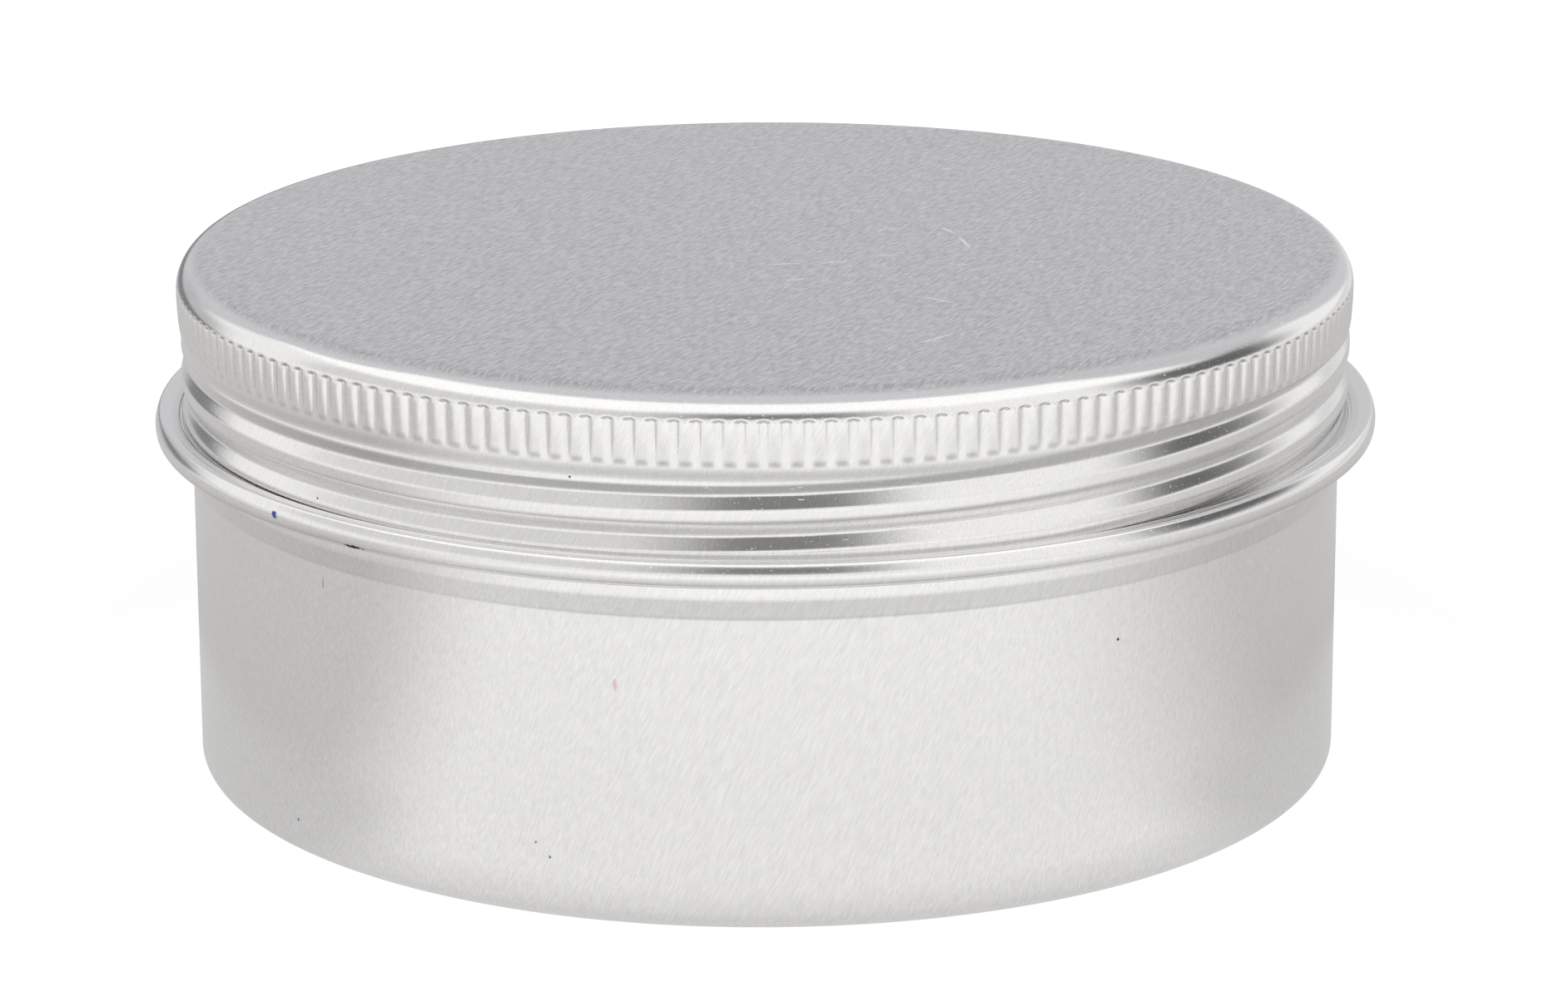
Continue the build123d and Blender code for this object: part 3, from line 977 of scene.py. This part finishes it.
def pale_floor(studio):
    """Matt white card in front of the tin, with painted shade that colours the floor grey beside and behind
    it, drawn in one material.

    The card shows in the metal as a pale sweep and the painted shade as grey sides. A painted sheen scales
    the colour, darker where the floor is seen steeply and brighter at a slant. The disc round the foot glows
    though it is no lamp: painted light that takes the tin's shadow off the foot and keeps the foot from going
    dark.
    """
    made = blank("pale_card_and_grey_cloth")
    tree = made.node_tree
    place = add(tree, "ShaderNodeTexCoord").outputs["Object"]
    axes = add(tree, "ShaderNodeSeparateXYZ", Vector=place).outputs
    bearing = bearing_of(tree, axes)
    reach = add(tree, "ShaderNodeVectorMath", {"operation": "LENGTH"}, Vector=place)
    far = add(tree, "ShaderNodeMapRange", SMOOTH, Value=reach, From_Min=CARD_FAR[0], From_Max=CARD_FAR[1])
    card = between(tree, bearing, CARD_RISE, CARD_FALL)
    card = add(tree, "ShaderNodeMath", LARGER, Value0=card, Value1=far)
    # Painted shade: outside the white card the floor takes the grey colour beside and behind the tin.
    tint = add(
        tree, "ShaderNodeMix", COLOURS, Factor=card, A=(*studio.floor_painted_shade, 1.0), B=(*studio.floor, 1.0),
    )
    # Painted shade: far off in the back-left corner the floor is coloured darker still.
    behind = add(
        tree, "ShaderNodeMapRange", SMOOTH, Value=bearing,
        From_Min=math.radians(PAINTED_SHADE_CORNER_RISE[0]), From_Max=math.radians(PAINTED_SHADE_CORNER_RISE[1]),
    )
    corner = add(tree, "ShaderNodeMath", MULTIPLY, Value0=behind, Value1=far)
    tint = add(tree, "ShaderNodeMix", COLOURS, Factor=corner, A=tint, B=(*studio.far_corner_painted_shade, 1.0))
    # Painted sheen: the matt colour is scaled by how slantwise the floor is seen.
    slant = add(tree, "ShaderNodeLayerWeight", Blend=0.5).outputs["Facing"]
    painted_sheen = add(
        tree, "ShaderNodeMapRange", Value=slant, From_Min=SLANT[0], From_Max=SLANT[1],
        To_Min=SLANT_SHARES[0], To_Max=SLANT_SHARES[1],
    )
    tint = add(tree, "ShaderNodeVectorMath", {"operation": "SCALE"}, Vector=tint, Scale=painted_sheen)
    # Matt floor shader that carries the painted shade and the painted sheen in its colour.
    cloth = add(tree, "ShaderNodeBsdfDiffuse", Color=tint)

    # Painted light: a disc round the foot glows, brighter in a ring just out from the foot in front and
    # dimmer at the sides, where the tin's shadow would darken the floor.
    disc = add(
        tree, "ShaderNodeMapRange", SMOOTH, Value=reach,
        From_Min=DISC_EDGE[0], From_Max=DISC_EDGE[1], To_Min=DISC_SHARE, To_Max=0.0,
    )
    painted_glow = add(
        tree, "ShaderNodeMapRange", SMOOTH, Value=reach, From_Min=DISC_RING[0], From_Max=DISC_RING[1],
        To_Min=studio.painted_disc_light, To_Max=DISC_RING_GAIN * studio.painted_disc_light,
    )
    in_front = between(tree, bearing, DISC_RISE, DISC_FALL)
    painted_glow = add(tree, "ShaderNodeMix", NUMBERS, Factor=in_front, A=DISC_SIDE_GAIN * studio.painted_disc_light, B=painted_glow)
    lit = add(tree, "ShaderNodeEmission", Color=WHITE, Strength=painted_glow)
    under = add(tree, "ShaderNodeMixShader", Fac=disc, Shader0=cloth, Shader1=lit)

    seen = add(tree, "ShaderNodeLightPath").outputs["Is Camera Ray"]
    clear = add(
        tree, "ShaderNodeMapRange", SMOOTH, Value=reach, From_Min=WHITE_REACH[0], From_Max=WHITE_REACH[1],
        To_Min=WHITE_SHARES[0], To_Max=WHITE_SHARES[1],
    )
    shown = add(tree, "ShaderNodeMath", MULTIPLY, Value0=seen, Value1=clear)
    white = add(tree, "ShaderNodeEmission", Color=WHITE, Strength=WHITE_LIGHT)
    both = add(tree, "ShaderNodeMixShader", Fac=shown, Shader0=under, Shader1=white)
    add(tree, "ShaderNodeOutputMaterial", Surface=both)
    return made


def lay_floor(studio):
    """Round floor that the tin stands on."""
    bpy.ops.mesh.primitive_circle_add(
        vertices=FLOOR_POINTS, radius=FLOOR_RADIUS, fill_type="NGON", location=(0, 0, -FLOOR_DROP),
    )
    floor = bpy.context.object
    floor.name = "floor"
    floor.data.materials.append(pale_floor(studio))


# Stage: the lamp and the camera

KEY_SIZE = 0.5  # metres across
KEY_PLACE = Vector((0.0, -0.55, 0.75))
KEY_TARGET = Vector((0.0, -0.08, 0.0))
CAMERA_TARGET = Vector((1.301, 0.0, 18.424)) * MM
CAMERA_DISTANCE = 417.265 * MM
CAMERA_RISE = 16.058  # degrees above the table
CAMERA_ROLL = -0.218
CAMERA_FRAME = 36.0  # width of the camera's frame in mm, as Blender takes it


def place_lamp(scene, studio):
    """Round lamp high in front, which the metal doesn't mirror."""
    key = bpy.data.lights.new("key_lamp", "AREA")
    key.shape = "DISK"
    key.size = KEY_SIZE
    key.energy = studio.key_power
    lamp = bpy.data.objects.new("key_lamp", key)
    aim = (KEY_TARGET - KEY_PLACE).to_track_quat("-Z", "Y")
    lamp.matrix_world = Matrix.Translation(KEY_PLACE) @ aim.to_matrix().to_4x4()
    lamp.visible_glossy = False
    scene.collection.objects.link(lamp)


def place_camera(scene, studio):
    """Camera in front of the tin, looking along +Y and down, as in the photo."""
    lift = math.radians(CAMERA_RISE)
    roll = math.radians(CAMERA_ROLL)
    back = Vector((0.0, -math.cos(lift), math.sin(lift)))
    right = Vector((1.0, 0.0, 0.0))
    up = back.cross(right)
    tilted_right = math.cos(roll) * right + math.sin(roll) * up
    tilted_up = math.cos(roll) * up - math.sin(roll) * right
    data = bpy.data.cameras.new("camera")
    data.lens = studio.lens / MM
    data.sensor_width = CAMERA_FRAME
    camera = bpy.data.objects.new("camera", data)
    turn = Matrix((tilted_right, tilted_up, back)).transposed().to_4x4()
    camera.matrix_world = Matrix.Translation(CAMERA_TARGET + CAMERA_DISTANCE * back) @ turn
    scene.collection.objects.link(camera)
    scene.camera = camera


class TIN_OT_stage(Operator):
    """Build the pale floor, the studio's light and the camera."""

    bl_idname = "tin.stage"
    bl_label = "Build the studio"

    def execute(self, context):
        scene = context.scene
        studio = scene.tin_studio
        lay_floor(studio)
        hang_tent(scene, studio)
        place_lamp(scene, studio)
        place_camera(scene, studio)
        scene.view_settings.view_transform = "Standard"
        return {"FINISHED"}


class TIN_PT_panel(Panel):
    """Lists the steps that build the tin, and its sizes and colours."""

    bl_idname = "TIN_PT_panel"
    bl_label = "Screw-top tin"
    bl_space_type = "VIEW_3D"
    bl_region_type = "UI"
    bl_category = "Tin"

    def draw(self, context):
        for step in STEPS:
            self.layout.operator(step.bl_idname)
        for group in GROUPS:
            values = getattr(context.scene, group)
            box = self.layout.box()
            for name in values.__annotations__:
                box.prop(values, name)


STEPS = (TIN_OT_can, TIN_OT_liner, TIN_OT_lid, TIN_OT_stage)
GROUPS = {
    "tin_lid": LidSizes,
    "tin_can": CanSizes,
    "tin_liner": LinerSizes,
    "tin_finish": Finish,
    "tin_studio": Studio,
}


def register():
    """Registers the groups of sizes, the steps and the panel."""
    for name, group in GROUPS.items():
        bpy.utils.register_class(group)
        setattr(bpy.types.Scene, name, PointerProperty(type=group))
    for step in STEPS:
        bpy.utils.register_class(step)
    bpy.utils.register_class(TIN_PT_panel)


def unregister():
    """Takes out what register put in."""
    bpy.utils.unregister_class(TIN_PT_panel)
    for step in reversed(STEPS):
        bpy.utils.unregister_class(step)
    for name, group in reversed(GROUPS.items()):
        delattr(bpy.types.Scene, name)
        bpy.utils.unregister_class(group)


def main():
    """Registers the add-on and builds every piece and the stage."""
    register()
    bpy.ops.tin.can()
    bpy.ops.tin.liner()
    bpy.ops.tin.lid()
    bpy.ops.tin.stage()


if __name__ == "__main__":
    main()
